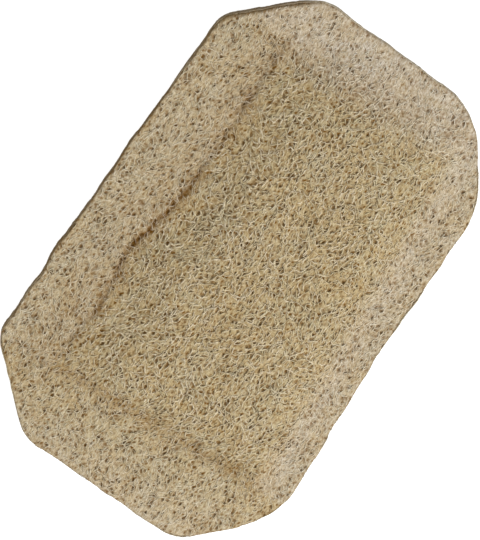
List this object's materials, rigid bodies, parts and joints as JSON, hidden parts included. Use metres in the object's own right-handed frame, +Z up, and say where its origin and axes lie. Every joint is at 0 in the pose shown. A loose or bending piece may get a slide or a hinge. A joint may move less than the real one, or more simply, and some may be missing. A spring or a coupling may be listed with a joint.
{
  "type": "pressed loofah pad",
  "caption": "Pressed natural loofah sponge: an octagonal pad of netted plant fibre with a thin flat rim round a thicker springy middle, for washing and scrubbing.",
  "frame": {"origin": "under the middle of the pad's outline, on the surface that it lies on", "axes": "+X along the pad's length, +Y across it towards the side with the softer slope, +Z up out of the raised middle"},
  "size_m": [0.1498, 0.0942, 0.0109],
  "materials": {
    "loofah_fibre": "matte straw-coloured dried plant fibre"
  },
  "bodies": {
    "root": {"loofah_pad": "loofah_fibre"}
  },
  "joints": []
}
